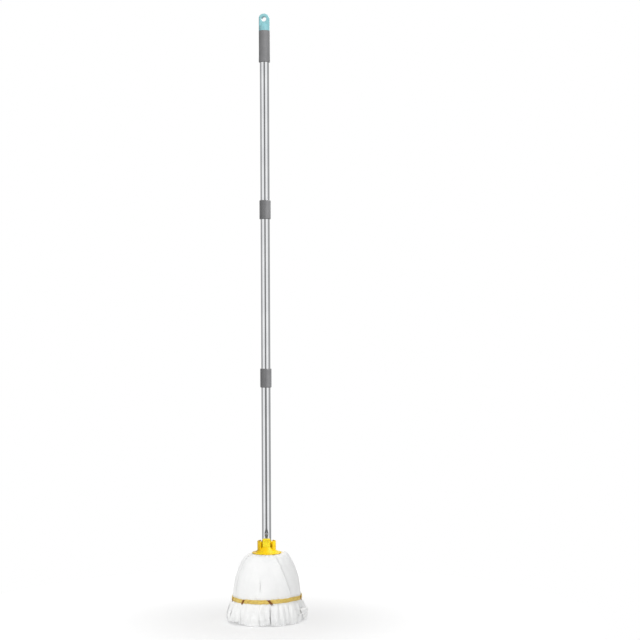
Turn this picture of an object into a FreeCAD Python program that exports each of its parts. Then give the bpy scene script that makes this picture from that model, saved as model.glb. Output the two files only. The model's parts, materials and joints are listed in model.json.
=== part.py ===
import FreeCAD, Part
import math
import os

# Strip mop: a bell of cloth strips under a moulded socket, on a three-piece screwed steel handle.
# Millimetres, +Z up. The origin is on the handle's axis at the floor; -Y is the front.

from FreeCAD import Placement, Rotation, Vector

UP = Vector(0, 0, 1)

# ---- driving dimensions: handle -------------------------------------------------------------
TUBE_R = 11.0
TUBE_WALL = 0.5
TUBE_BORE_R = TUBE_R - TUBE_WALL
LOWER_JOINT_Z = 578.0
UPPER_JOINT_Z = 980.0
LOWER_TUBE_END_Z = 145.0
UPPER_TUBE_TOP_Z = 1404.0

COLLAR_R = 13.5
COLLAR_LENGTH = 45.6
COLLAR_ROUNDING = 2.0
SLIDING_GAP = 0.08
SEATED_GAP = 0.03

THREAD_PITCH = 4.0
THREAD_LENGTH = 22.0
THREAD_CORE_R = 7.0
THREAD_CREST_R = 8.2
INSERT_BORE_R = 8.5
INSERT_LENGTH = 34.0
INSERT_FLOOR = 2.0
STUD_PLUG_LENGTH = 26.0
STUD_BORE_R = 4.5
WASHER_THICKNESS = 1.0
STUD_FLANGE = 1.0

GRIP_R = 13.1
GRIP_FOOT_R = 13.4
GRIP_BOTTOM_Z = 1332.0
GRIP_TOP_Z = 1407.5

CAP_R = 13.0
CAP_TOP_Z = 1448.0
CAP_DEPTH = 16.0
CAP_SHOULDER_Z = 1418.0
CAP_SHOULDER_RISE = 8.0
CAP_ROUNDING = 2.2
CAP_PLUG_LENGTH = 28.0
CAP_PLUG_BORE_R = 8.0
CAP_TURN_DEG = 8.0
EYE_R = 6.0
EYE_ROUNDING = 1.6

# ---- driving dimensions: snap button at the foot of the handle ---------------------------------
BUTTON_Z = 206.5
BUTTON_R = 3.3
BUTTON_PROUD = 2.0
BUTTON_HOLE_R = 3.7
BUTTON_FLANGE_R = 4.3
END_PLUG_TOP_Z = 224.0
END_PLUG_FOOT = 2.0
END_PLUG_BORE_R = 8.9
SPRING_WIDTH = 5.0
SPRING_THICKNESS = 0.5

# ---- driving dimensions: socket ------------------------------------------------------------------
FLANGE_R = 34.8
FLANGE_BOTTOM_Z = 160.0
FLANGE_THICKNESS = 2.6
SLEEVE_R = 15.5
SLEEVE_TOP_Z = 188.0
CONE_TOP_Z = 175.5
CONE_FOOT_R = 27.0
EAR_OUTER_R = 22.2
EAR_WALL = 2.6
EAR_TOP_Z = 189.5
EAR_HALF_ANGLE = 47.0
CUP_R = 13.6
CUP_FLOOR_TOP_Z = LOWER_TUBE_END_Z - END_PLUG_FOOT - 0.05
CUP_FLOOR_THICKNESS = 3.0
BOSS_R = 3.4
FIXING_CIRCLE_R = 19.5
FIXING_COUNT = 4

TONGUE_WIDTH = 18.0
TONGUE_TOP_Z = 195.6
TONGUE_THICKNESS = 2.4
TONGUE_LIP = 1.8
TONGUE_GAP = 0.4

# ---- driving dimensions: cloth -------------------------------------------------------------------
CLAMP_OUTER_R = 35.0
CLOTH_THICKNESS = 2.6
LAYER_GAP = 0.8
STRIP_GAP_DEG = 0.5
MIN_LINE_STEP = 4.0
BAND_Z = (51.0, 61.0)
BAND_THICKNESS = 1.6
PLATE_THICKNESS = 2.6
PLATE_R = 31.0

# Outer line of the bell of cloth, from under the flange out over the shoulder and down: (r, z).
BELL_LINE = [(26.0, 159.7), (35.0, 159.5), (42.0, 158.0), (50.0, 154.5), (60.0, 143.0),
             (69.0, 123.0), (75.5, 103.0), (80.0, 82.0), (81.9, 66.0), (82.2, 56.0),
             (84.2, 48.5), (92.5, 31.0), (96.0, 16.0), (94.5, 0.0)]

# Edges between the outer sheets, in degrees round the axis from the front towards +X.
OUTER_EDGES_DEG = [-64.0, 40.0, 62.0, 148.0, 222.0]

# Further layers inside the bell: name, count, share of the outer spread, height of the tips.
INNER_LAYERS = [("middle_strip", 8, 0.72, 3.0), ("inner_strip", 8, 0.42, 5.0),
                ("core_strip", 4, 0.12, 7.0)]

# ---- basic shapes ----------------------------------------------------------------------------


def rod(radius, z0, z1, x=0.0, y=0.0):
    return Part.makeCylinder(radius, z1 - z0, Vector(x, y, z0), UP)


def ring(outer, inner, z0, z1):
    return rod(outer, z0, z1).cut(rod(inner, z0 - 1, z1 + 1))


def block(x0, x1, y0, y1, z0, z1):
    return Part.makeBox(x1 - x0, y1 - y0, z1 - z0, Vector(x0, y0, z0))


def turned(points, degrees=360.0):
    """A solid turned about the axis from a closed outline of (r, z) corners."""
    corners = [Vector(r, 0, z) for r, z in points]
    face = Part.Face(Part.makePolygon(corners + corners[:1]))
    return face.revolve(Vector(0, 0, 0), UP, degrees)


def round_edges(shape, radius):
    """The edges that are circles of this radius, each with its centre."""
    round_ones = [e for e in shape.Edges if not e.Degenerated and isinstance(e.Curve, Part.Circle)]
    return [(e, e.Curve.Center) for e in round_ones if abs(e.Curve.Radius - radius) < 0.01]


def rim_edges(shape, radius, z):
    """The round edges about the handle's axis with this radius, at this height."""
    return [edge for edge, centre in round_edges(shape, radius)
            if abs(centre.z - z) < 0.01 and math.hypot(centre.x, centre.y) < 0.01]


# ---- handle ----------------------------------------------------------------------------------


def tube(z0, z1):
    return ring(TUBE_R, TUBE_BORE_R, z0, z1)


def hanging_cap():
    """Cap with a flattened, round-topped ear for hanging, and a plug that fits in the tube."""
    eye_z = CAP_TOP_Z - CAP_R
    half = CAP_DEPTH / 2
    ear_plate = Part.makeCylinder(CAP_R, CAP_DEPTH, Vector(0, -half, eye_z), Vector(0, 1, 0))
    ear_plate = ear_plate.fuse(block(-CAP_R, CAP_R, -half, half, GRIP_TOP_Z, eye_z))
    ear_plate = ear_plate.removeSplitter()
    face_edges = [e for e in ear_plate.Edges
                  if e.BoundBox.YLength < 0.01 and e.BoundBox.ZMax > GRIP_TOP_Z + 1]
    ear_plate = ear_plate.makeFillet(CAP_ROUNDING, face_edges)
    shoulder = turned([(0, GRIP_TOP_Z), (CAP_R, GRIP_TOP_Z), (CAP_R, CAP_SHOULDER_Z),
                       (half, CAP_SHOULDER_Z + CAP_SHOULDER_RISE),
                       (0, CAP_SHOULDER_Z + CAP_SHOULDER_RISE)])
    body = ear_plate.common(rod(CAP_R, GRIP_TOP_Z, CAP_TOP_Z)).fuse(shoulder).removeSplitter()
    eye = Part.makeCylinder(EYE_R, 2 * CAP_DEPTH, Vector(0, -CAP_DEPTH, eye_z), Vector(0, 1, 0))
    body = body.cut(eye)
    mouths = [edge for edge, centre in round_edges(body, EYE_R)
              if abs(abs(centre.y) - half) < 0.01]
    body = body.makeFillet(EYE_ROUNDING, mouths)
    spigot_top = rod(TUBE_R, UPPER_TUBE_TOP_Z + SEATED_GAP, GRIP_TOP_Z)
    spigot_foot = UPPER_TUBE_TOP_Z - CAP_PLUG_LENGTH
    spigot = rod(TUBE_BORE_R - SEATED_GAP, spigot_foot, GRIP_TOP_Z)
    body = body.fuse(spigot_top).fuse(spigot).removeSplitter()
    body = body.cut(rod(CAP_PLUG_BORE_R, spigot_foot - 1, GRIP_TOP_Z))
    body.rotate(Vector(0, 0, 0), UP, -CAP_TURN_DEG)
    return body


def grip_sleeve():
    foot = GRIP_BOTTOM_Z
    sleeve = turned([(TUBE_R + SEATED_GAP, foot), (GRIP_FOOT_R, foot), (GRIP_FOOT_R, foot + 6),
                     (GRIP_R, foot + 18), (GRIP_R, GRIP_TOP_Z - SEATED_GAP),
                     (TUBE_R + SEATED_GAP, GRIP_TOP_Z - SEATED_GAP)])
    return sleeve.makeFillet(1.8, rim_edges(sleeve, GRIP_FOOT_R, foot))


def joint_sleeve(joint_z):
    """Collar round both tube ends: fixed on the lower tube, a sliding fit for the upper one."""
    half = COLLAR_LENGTH / 2
    sleeve = ring(COLLAR_R, TUBE_R + SLIDING_GAP, joint_z - half, joint_z + half)
    rims = rim_edges(sleeve, COLLAR_R, joint_z - half) + rim_edges(sleeve, COLLAR_R, joint_z + half)
    return sleeve.makeFillet(COLLAR_ROUNDING, rims)


def joint_insert(joint_z):
    """Threaded insert in the top of the lower tube. Its bore clears the stud's thread."""
    top = joint_z - WASHER_THICKNESS
    outer = rod(TUBE_BORE_R - SEATED_GAP, top - INSERT_LENGTH, top)
    return outer.cut(rod(INSERT_BORE_R, top - INSERT_LENGTH + INSERT_FLOOR, top + 1))


def joint_washer(joint_z):
    low = joint_z - WASHER_THICKNESS + 0.05
    return ring(TUBE_R - 0.1, THREAD_CREST_R + 0.35, low, joint_z - 0.05)


def thread_ridge(z_top):
    """Coarse right-hand screw ridge, from the flange down."""
    turns_height = THREAD_LENGTH - 1.5 * THREAD_PITCH
    low = z_top - THREAD_LENGTH + THREAD_PITCH / 2
    helix = Part.makeHelix(THREAD_PITCH, turns_height, THREAD_CORE_R)
    helix.translate(Vector(0, 0, low))
    root, half_root, half_crest = THREAD_CORE_R - 0.2, 1.25, 0.5
    corners = [Vector(root, 0, low - half_root), Vector(THREAD_CREST_R, 0, low - half_crest),
               Vector(THREAD_CREST_R, 0, low + half_crest), Vector(root, 0, low + half_root)]
    outline = Part.makePolygon(corners + corners[:1])
    return Part.Wire(helix.Edges).makePipeShell([outline], True, True)


def joint_stud(joint_z):
    """Plug in the foot of the upper tube, with a flange and the screw that goes down."""
    flange_top = joint_z + STUD_FLANGE
    stud = rod(TUBE_BORE_R - SEATED_GAP, flange_top, flange_top + STUD_PLUG_LENGTH)
    stud = stud.fuse(rod(TUBE_R, joint_z, flange_top))
    stud = stud.fuse(rod(THREAD_CORE_R, joint_z - THREAD_LENGTH, joint_z))
    stud = stud.fuse(thread_ridge(joint_z))
    return stud.cut(rod(STUD_BORE_R, flange_top + 2, flange_top + STUD_PLUG_LENGTH + 1))


# ---- snap button -----------------------------------------------------------------------------


def button_bore(radius):
    return Part.makeCylinder(radius, 2 * TUBE_R, Vector(0, 0, BUTTON_Z), Vector(0, -1, 0))


def lower_tube():
    body = tube(LOWER_TUBE_END_Z, LOWER_JOINT_Z - WASHER_THICKNESS)
    return body.cut(button_bore(BUTTON_HOLE_R))


def tube_end_plug():
    """Hollow plug that closes the foot of the handle and carries the button."""
    foot = LOWER_TUBE_END_Z - END_PLUG_FOOT
    plug = rod(TUBE_BORE_R - SEATED_GAP, LOWER_TUBE_END_Z, END_PLUG_TOP_Z)
    plug = plug.fuse(rod(TUBE_R, foot, LOWER_TUBE_END_Z)).removeSplitter()
    plug = plug.makeFillet(0.8, rim_edges(plug, TUBE_R, foot))
    plug = plug.cut(rod(END_PLUG_BORE_R, LOWER_TUBE_END_Z + 1, END_PLUG_TOP_Z + 1))
    return plug.cut(button_bore(BUTTON_HOLE_R))


def snap_button():
    back = -6.4
    flange_front = -7.6
    crown = -(TUBE_R + BUTTON_PROUD)
    stem = Part.makeCylinder(BUTTON_R, flange_front - crown, Vector(0, flange_front, BUTTON_Z),
                             Vector(0, -1, 0))
    flange = Part.makeCylinder(BUTTON_FLANGE_R, back - flange_front, Vector(0, back, BUTTON_Z),
                               Vector(0, -1, 0))
    button = stem.fuse(flange)
    crown_edges = [edge for edge, centre in round_edges(button, BUTTON_R)
                   if abs(centre.y - crown) < 0.01]
    return button.makeFillet(1.4, crown_edges)


def snap_spring():
    """Folded leaf: one leg behind the button, the other against the back of the plug."""
    front_top = (-6.3, BUTTON_Z + 3.5)
    front_low = (-6.3, BUTTON_Z - 5.0)
    bend = (2.0, BUTTON_Z - 30.0)
    back_low = (8.1, BUTTON_Z - 14.0)
    back_top = (8.1, BUTTON_Z + 5.0)
    t = SPRING_THICKNESS
    near = [front_top, front_low, bend, back_low, back_top]
    far = [(8.1 - t, BUTTON_Z + 5.0), (8.1 - t, BUTTON_Z - 13.6), (2.0, BUTTON_Z - 29.0),
           (-6.3 + t, BUTTON_Z - 4.8), (-6.3 + t, BUTTON_Z + 3.5)]
    corners = [Vector(-SPRING_WIDTH / 2, y, z) for y, z in near + far]
    leaf = Part.Face(Part.makePolygon(corners + corners[:1]))
    return leaf.extrude(Vector(SPRING_WIDTH, 0, 0))


# ---- socket ----------------------------------------------------------------------------------


def fixing_places():
    for i in range(FIXING_COUNT):
        angle = math.radians(45.0 + i * 360.0 / FIXING_COUNT)
        yield FIXING_CIRCLE_R * math.cos(angle), FIXING_CIRCLE_R * math.sin(angle)


def ear(sign):
    """Upright wall that stands on the cone at one side, joined to the sleeve by a web."""
    inner = EAR_OUTER_R - EAR_WALL
    foot = FLANGE_BOTTOM_Z + FLANGE_THICKNESS
    wall = turned([(inner, foot), (EAR_OUTER_R, foot), (EAR_OUTER_R, EAR_TOP_Z),
                   (inner, EAR_TOP_Z)], 2 * EAR_HALF_ANGLE)
    wall.rotate(Vector(0, 0, 0), UP, -EAR_HALF_ANGLE)
    top_edges = [e for e in wall.Edges if e.BoundBox.ZMin > EAR_TOP_Z - 0.01]
    wall = wall.makeFillet(0.9, top_edges)
    web = block(SLEEVE_R - 1, inner + 0.5, -1.1, 1.1, CONE_TOP_Z - 5, EAR_TOP_Z - 5)
    wall = wall.fuse(web)
    if sign < 0:
        wall.rotate(Vector(0, 0, 0), UP, 180)
    return wall


def mop_socket():
    bore = TUBE_R + SLIDING_GAP
    cup_foot = CUP_FLOOR_TOP_Z - CUP_FLOOR_THICKNESS
    flange_top = FLANGE_BOTTOM_Z + FLANGE_THICKNESS
    body = turned([(0, cup_foot), (CUP_R, cup_foot), (CUP_R, FLANGE_BOTTOM_Z),
                   (FLANGE_R, FLANGE_BOTTOM_Z), (FLANGE_R, flange_top), (CONE_FOOT_R, flange_top),
                   (SLEEVE_R, CONE_TOP_Z), (SLEEVE_R, SLEEVE_TOP_Z), (0, SLEEVE_TOP_Z)])
    body = body.makeFillet(0.9, rim_edges(body, FLANGE_R, FLANGE_BOTTOM_Z)
                           + rim_edges(body, FLANGE_R, flange_top)
                           + rim_edges(body, SLEEVE_R, SLEEVE_TOP_Z))
    body = body.fuse(ear(1)).fuse(ear(-1))
    for x, y in fixing_places():
        body = body.fuse(rod(BOSS_R, plate_top_z(), FLANGE_BOTTOM_Z + 0.5, x, y))
    body = body.cut(rod(bore, CUP_FLOOR_TOP_Z, SLEEVE_TOP_Z + 1))
    half_slot = TONGUE_WIDTH / 2 + 0.8
    body = body.cut(block(-half_slot, half_slot, -30, 0, CONE_TOP_Z, EAR_TOP_Z + 1))
    for x, y in fixing_places():
        body = body.cut(rod(1.65, plate_top_z() - 1, FLANGE_BOTTOM_Z + 0.8, x, y))
    return body.removeSplitter()


def release_tongue():
    """Springy tongue up the front of the handle, with a lip at the top for the thumb."""
    foot = CONE_TOP_Z + TONGUE_GAP
    inner = -(TUBE_R + TONGUE_GAP)
    outer = inner - TONGUE_THICKNESS
    lip = outer - TONGUE_LIP
    lip_foot = TONGUE_TOP_Z - 6.0
    corners = [(inner, foot), (inner, TONGUE_TOP_Z), (lip, TONGUE_TOP_Z),
               (lip, TONGUE_TOP_Z - 2.6), (outer, lip_foot), (outer, foot)]
    points = [Vector(-TONGUE_WIDTH / 2, y, z) for y, z in corners]
    side = Part.Face(Part.makePolygon(points + points[:1]))
    tongue = side.extrude(Vector(TONGUE_WIDTH, 0, 0))
    corner_edges = [e for e in tongue.Edges
                    if e.BoundBox.ZMin > TONGUE_TOP_Z - 0.01 and e.BoundBox.XLength < 0.01]
    tongue = tongue.makeFillet(0.7, corner_edges)
    return tongue


def plate_top_z():
    return FLANGE_BOTTOM_Z - (len(INNER_LAYERS) + 1) * (CLOTH_THICKNESS + LAYER_GAP) - LAYER_GAP


def clamp_plate():
    """Plate that presses the cloth's ends up against the flange."""
    top = plate_top_z()
    plate = ring(PLATE_R, CUP_R + 0.3, top - PLATE_THICKNESS, top)
    plate = plate.makeFillet(0.8, rim_edges(plate, PLATE_R, top - PLATE_THICKNESS)
                             + rim_edges(plate, PLATE_R, top))
    for x, y in fixing_places():
        plate = plate.cut(rod(2.0, top - PLATE_THICKNESS - 1, top + 1, x, y))
    return plate


def clamp_screws():
    low = plate_top_z() - PLATE_THICKNESS
    screws = []
    for x, y in fixing_places():
        head = Part.makeCone(2.2, 3.4, 2.0, Vector(x, y, low - 2.05), UP)
        shank = rod(1.6, low - 0.5, FLANGE_BOTTOM_Z, x, y)
        recess = block(x - 1.4, x + 1.4, y - 0.3, y + 0.3, low - 2.2, low - 1.2)
        recess = recess.fuse(block(x - 0.3, x + 0.3, y - 1.4, y + 1.4, low - 2.2, low - 1.2))
        screws.append(head.fuse(shank).cut(recess))
    return Part.makeCompound(screws)


# ---- cloth -----------------------------------------------------------------------------------


def layer_line(share, layer, tip_z):
    """The bell line drawn in towards the clamp for one layer, without crowded points."""
    drop = layer * (CLOTH_THICKNESS + LAYER_GAP)
    top_z = BELL_LINE[0][1]
    line = []
    for r, z in BELL_LINE:
        height = tip_z + z * (top_z - drop - tip_z) / top_z
        spread = max(r - CLAMP_OUTER_R, 0.0)
        point = Vector(r - spread * (1.0 - share), 0, height)
        if not line or point.distanceToPoint(line[-1]) > MIN_LINE_STEP:
            line.append(point)
    return line


def strip_section(share, layer, tip_z):
    """Half-section of one cloth layer: its line, and the same line a cloth's thickness inside."""
    outer = layer_line(share, layer, tip_z)
    steps = [(b - a).normalize() for a, b in zip(outer, outer[1:])]
    normals = [Vector(step.z, 0, -step.x) for step in steps]
    inner = []
    for point, before, after in zip(outer, normals[:1] + normals, normals + normals[-1:]):
        inner.append(point + (before + after) * (CLOTH_THICKNESS / (1.0 + before.dot(after))))
    outline = outer + inner[::-1]
    return Part.Face(Part.makePolygon(outline + outline[:1]))


def strip(section, start_deg, end_deg):
    """One strip: the section turned from one edge to the next. Degrees from the front."""
    solid = section.revolve(Vector(0, 0, 0), UP, end_deg - start_deg - STRIP_GAP_DEG)
    solid.rotate(Vector(0, 0, 0), UP, start_deg - 90.0 + STRIP_GAP_DEG / 2)
    return solid


def cloth_strips():
    strips = {}
    section = strip_section(1.0, 0, 0.0)
    ends = OUTER_EDGES_DEG[1:] + [OUTER_EDGES_DEG[0] + 360.0]
    for number, (start, end) in enumerate(zip(OUTER_EDGES_DEG, ends), 1):
        strips[f"outer_sheet_{number:02d}"] = strip(section, start, end)
    for layer, (name, count, share, tip_z) in enumerate(INNER_LAYERS, 1):
        section = strip_section(share, layer, tip_z)
        step = 360.0 / count
        first = OUTER_EDGES_DEG[0] + (step / 2 if layer % 2 else 0.0)
        for number in range(count):
            start = first + number * step
            strips[f"{name}_{number + 1:02d}"] = strip(section, start, start + step)
    return strips


def stitched_band():
    """Band sewn round the strips near their lower end, following the bell."""
    low, high = BAND_Z
    r_high, r_low = 82.6, 84.0
    return turned([(r_low, low), (r_low + BAND_THICKNESS, low), (r_high + BAND_THICKNESS, high),
                   (r_high, high)])


# ---- assembly --------------------------------------------------------------------------------


def handle_nodes():
    nodes = {"hanging_cap": hanging_cap(), "grip_sleeve": grip_sleeve()}
    nodes["upper_tube"] = tube(UPPER_JOINT_Z + STUD_FLANGE, UPPER_TUBE_TOP_Z)
    nodes["middle_tube"] = tube(LOWER_JOINT_Z + STUD_FLANGE, UPPER_JOINT_Z - WASHER_THICKNESS)
    nodes["lower_tube"] = lower_tube()
    for place, joint_z in (("upper", UPPER_JOINT_Z), ("lower", LOWER_JOINT_Z)):
        nodes[f"{place}_joint_sleeve"] = joint_sleeve(joint_z)
        nodes[f"{place}_joint_insert"] = joint_insert(joint_z)
        nodes[f"{place}_joint_stud"] = joint_stud(joint_z)
        nodes[f"{place}_joint_washer"] = joint_washer(joint_z)
    nodes["tube_end_plug"] = tube_end_plug()
    nodes["snap_button"] = snap_button()
    nodes["snap_spring"] = snap_spring()
    return nodes


def head_nodes():
    nodes = {"mop_socket": mop_socket(), "release_tongue": release_tongue()}
    nodes["clamp_plate"] = clamp_plate()
    nodes["clamp_screws"] = clamp_screws()
    nodes["stitched_band"] = stitched_band()
    nodes.update(cloth_strips())
    return nodes


def main():
    os.makedirs("parts", exist_ok=True)
    for name, shape in {**handle_nodes(), **head_nodes()}.items():
        shape.exportStep(f"parts/{name}.step")
        box = shape.BoundBox
        print(f"{name:22s} solids {len(shape.Solids)} valid {shape.isValid()} "
              f"{shape.Volume / 1000:8.2f} cm3  z {box.ZMin:8.2f} {box.ZMax:8.2f}  r {box.XMax:6.2f}")


main()
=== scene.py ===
import json
import math
import random

import bmesh
import bpy
import numpy as np
from mathutils import Matrix, Vector, noise


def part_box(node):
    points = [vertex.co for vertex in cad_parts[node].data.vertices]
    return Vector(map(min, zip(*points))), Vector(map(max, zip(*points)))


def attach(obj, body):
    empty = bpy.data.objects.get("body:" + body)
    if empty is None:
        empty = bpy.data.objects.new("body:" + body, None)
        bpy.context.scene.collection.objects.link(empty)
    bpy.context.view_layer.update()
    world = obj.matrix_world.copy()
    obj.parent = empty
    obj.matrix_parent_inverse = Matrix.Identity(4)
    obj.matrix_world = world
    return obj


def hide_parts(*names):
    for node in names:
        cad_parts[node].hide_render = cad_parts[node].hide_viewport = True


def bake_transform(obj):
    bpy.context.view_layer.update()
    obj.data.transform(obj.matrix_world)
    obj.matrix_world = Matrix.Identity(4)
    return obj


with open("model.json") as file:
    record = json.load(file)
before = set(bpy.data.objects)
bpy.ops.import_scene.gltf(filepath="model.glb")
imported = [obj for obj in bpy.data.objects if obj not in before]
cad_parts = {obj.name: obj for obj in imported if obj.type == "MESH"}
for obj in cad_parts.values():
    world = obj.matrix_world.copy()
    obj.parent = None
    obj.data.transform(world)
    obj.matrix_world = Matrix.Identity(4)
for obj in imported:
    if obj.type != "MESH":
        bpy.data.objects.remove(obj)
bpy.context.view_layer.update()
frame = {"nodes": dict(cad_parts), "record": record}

# Lengths are millimetres, and become metres where a mesh is made or handed to the frame. Those in
# the materials and in the studio are metres.
MM = 0.001
BODY = {node: body for body, nodes in frame["record"]["behaviour"]["bodies"].items()
        for node in nodes}


def millimetres(node):
    """A CAD node's lowest and highest corners."""
    low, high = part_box(node)
    return [c / MM for c in low], [c / MM for c in high]


def cad_nodes(*names):
    return [frame["nodes"][name] for name in names]


# ---- materials -------------------------------------------------------------------------------


def add_node(tree, kind, inputs=None, **settings):
    """A node with its settings, and with a value or a link for each input given."""
    node = tree.nodes.new(kind)
    for key, value in settings.items():
        setattr(node, key, value)
    for key, value in (inputs or {}).items():
        if isinstance(value, bpy.types.NodeSocket):
            tree.links.new(value, node.inputs[key])
        else:
            node.inputs[key].default_value = value
    return node


class Finish:
    """A node material under construction: one Principled shader and the textures that feed it."""

    def __init__(self, name, **sockets):
        self.material = bpy.data.materials.new(name)
        self.material.use_nodes = True
        self.tree = self.material.node_tree
        self.shader = self.tree.nodes["Principled BSDF"]
        for socket, value in sockets.items():
            self.shader.inputs[socket.replace("_", " ")].default_value = value
        self.place = self.add("ShaderNodeTexCoord").outputs["Object"]
        self.height = None

    def add(self, kind, inputs=None, **settings):
        return add_node(self.tree, kind, inputs, **settings)

    def maths(self, operation, a, b=0.0):
        return self.add("ShaderNodeMath", {0: a, 1: b}, operation=operation).outputs[0]

    def stretched(self, source, scale):
        return self.add("ShaderNodeMapping", {"Vector": source, "Scale": scale}).outputs[0]

    def cloud(self, scale, detail=3.0, roughness=0.55, source=None):
        inputs = {"Vector": source or self.place, "Scale": scale, "Detail": detail,
                  "Roughness": roughness}
        return self.add("ShaderNodeTexNoise", inputs).outputs["Fac"]

    def range(self, value, low, high, new_low, new_high):
        inputs = {0: value, 1: low, 2: high, 3: new_low, 4: new_high}
        return self.add("ShaderNodeMapRange", inputs).outputs[0]

    def blend(self, factor, a, b):
        """A mix of two colours; 0, 6, 7 and 2 are the colour sockets of the node."""
        return self.add("ShaderNodeMix", {0: factor, 6: a, 7: b}, data_type="RGBA").outputs[2]

    def link(self, value, socket):
        self.tree.links.new(value, self.shader.inputs[socket])

    def bump(self, value, distance, strength=1.0):
        """Adds one scale of relief, on top of any added before."""
        inputs = {"Height": value, "Distance": distance, "Strength": strength}
        if self.height is not None:
            inputs["Normal"] = self.height
        self.height = self.add("ShaderNodeBump", inputs).outputs[0]
        self.link(self.height, "Normal")


def rgba(r, g, b):
    return (r, g, b, 1.0)


def moulded(name, colour, shade, gloss, grain, relief, glow=0.0, shine=0.5):
    """Moulded plastic: slightly clouded colour, uneven gloss and fine grain.

    glow is the share of light that scatters inside it, shine the strength of its reflection."""
    finish = Finish(name, Subsurface_Weight=glow, Subsurface_Scale=0.004)
    finish.shader.inputs["Specular IOR Level"].default_value = shine
    finish.shader.inputs["Subsurface Radius"].default_value = (1.0, 0.7, 0.15)
    clouds = finish.cloud(38.0, 4.0)
    finish.link(finish.blend(finish.range(clouds, 0.35, 0.68, 0.0, 1.0), colour, shade), "Base Color")
    scuffs = finish.cloud(160.0, 6.0, 0.7)
    finish.link(finish.range(scuffs, 0.3, 0.7, gloss[0], gloss[1]), "Roughness")
    finish.bump(finish.cloud(grain, 2.0), relief)
    return finish.material


def chromed_steel():
    """Bright plated tube: long faint draw lines, small cloudy patches in the polish."""
    finish = Finish("chromed_steel", Metallic=1.0)
    lines = finish.cloud(60.0, 5.0, 0.6, finish.stretched(finish.place, (26.0, 26.0, 0.35)))
    patches = finish.cloud(24.0, 3.0)
    finish.link(finish.blend(finish.range(patches, 0.3, 0.7, 0.0, 1.0), rgba(0.80, 0.81, 0.82),
                             rgba(0.72, 0.73, 0.745)), "Base Color")
    finish.link(finish.range(finish.maths("MULTIPLY", lines, patches), 0.1, 0.45, 0.07, 0.17),
                "Roughness")
    finish.bump(lines, 0.00001, 0.6)
    return finish.material


def plain_steel(name, colour, gloss):
    finish = Finish(name, Metallic=1.0)
    lines = finish.cloud(900.0, 3.0, 0.6)
    finish.link(finish.blend(lines, colour, rgba(*(0.8 * c for c in colour[:3]))), "Base Color")
    finish.link(finish.range(lines, 0.3, 0.7, gloss - 0.08, gloss + 0.08), "Roughness")
    finish.bump(lines, 0.00002)
    return finish.material


def soft_grip():
    """Matte grip: pebbled grain over faint moulding ripples."""
    finish = Finish("grip_rubber", IOR=1.45)
    clouds = finish.cloud(45.0, 4.0)
    finish.link(finish.blend(finish.range(clouds, 0.3, 0.7, 0.0, 1.0), rgba(0.235, 0.235, 0.24),
                             rgba(0.195, 0.195, 0.20)), "Base Color")
    finish.link(finish.range(finish.cloud(220.0, 4.0), 0.3, 0.7, 0.46, 0.62), "Roughness")
    pebbles = finish.add("ShaderNodeTexVoronoi", {"Vector": finish.place, "Scale": 1100.0})
    finish.bump(pebbles.outputs["Distance"], 0.00012, 0.8)
    finish.bump(clouds, 0.0003, 0.5)
    return finish.material


def waves(finish, source, period):
    """A wave between -1 and 1 along one coordinate, with this period."""
    return finish.maths("SINE", finish.maths("MULTIPLY", source, 2 * math.pi / period))


DOT_PITCH = 0.034


def cloth_finish():
    """White nonwoven cloth: rows of small pressed dots, loose fibres and faint uneven whiteness.

    The cloth's UV map is in millimetres over 100, across and along the sheet."""
    finish = Finish("mop_cloth", Sheen_Weight=0.12, Sheen_Roughness=0.5)
    finish.shader.inputs["Specular IOR Level"].default_value = 0.25
    uv = finish.add("ShaderNodeUVMap", uv_map="cloth").outputs[0]
    parts = finish.add("ShaderNodeSeparateXYZ", {0: uv})
    dots = finish.maths("MULTIPLY", waves(finish, parts.outputs[0], DOT_PITCH),
                        waves(finish, parts.outputs[1], DOT_PITCH))
    dots = finish.range(dots, 0.25, 0.95, 0.0, 1.0)
    fibres = finish.cloud(90.0, 6.0, 0.7, finish.stretched(uv, (3.2, 0.9, 1.0)))
    clouds = finish.cloud(28.0, 4.0)
    white = finish.blend(finish.range(clouds, 0.3, 0.7, 0.0, 1.0), rgba(0.93, 0.932, 0.928),
                         rgba(0.885, 0.89, 0.888))
    white = finish.blend(finish.maths("MULTIPLY", dots, 0.35), white, rgba(0.78, 0.79, 0.79))
    white = finish.blend(finish.range(fibres, 0.5, 0.75, 0.0, 0.35), white, rgba(0.95, 0.95, 0.94))
    finish.link(white, "Base Color")
    finish.link(finish.range(fibres, 0.2, 0.8, 0.82, 0.98), "Roughness")
    finish.bump(fibres, 0.00035, 0.7)
    finish.bump(dots, -0.00028, 0.8)
    return finish.material


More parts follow.
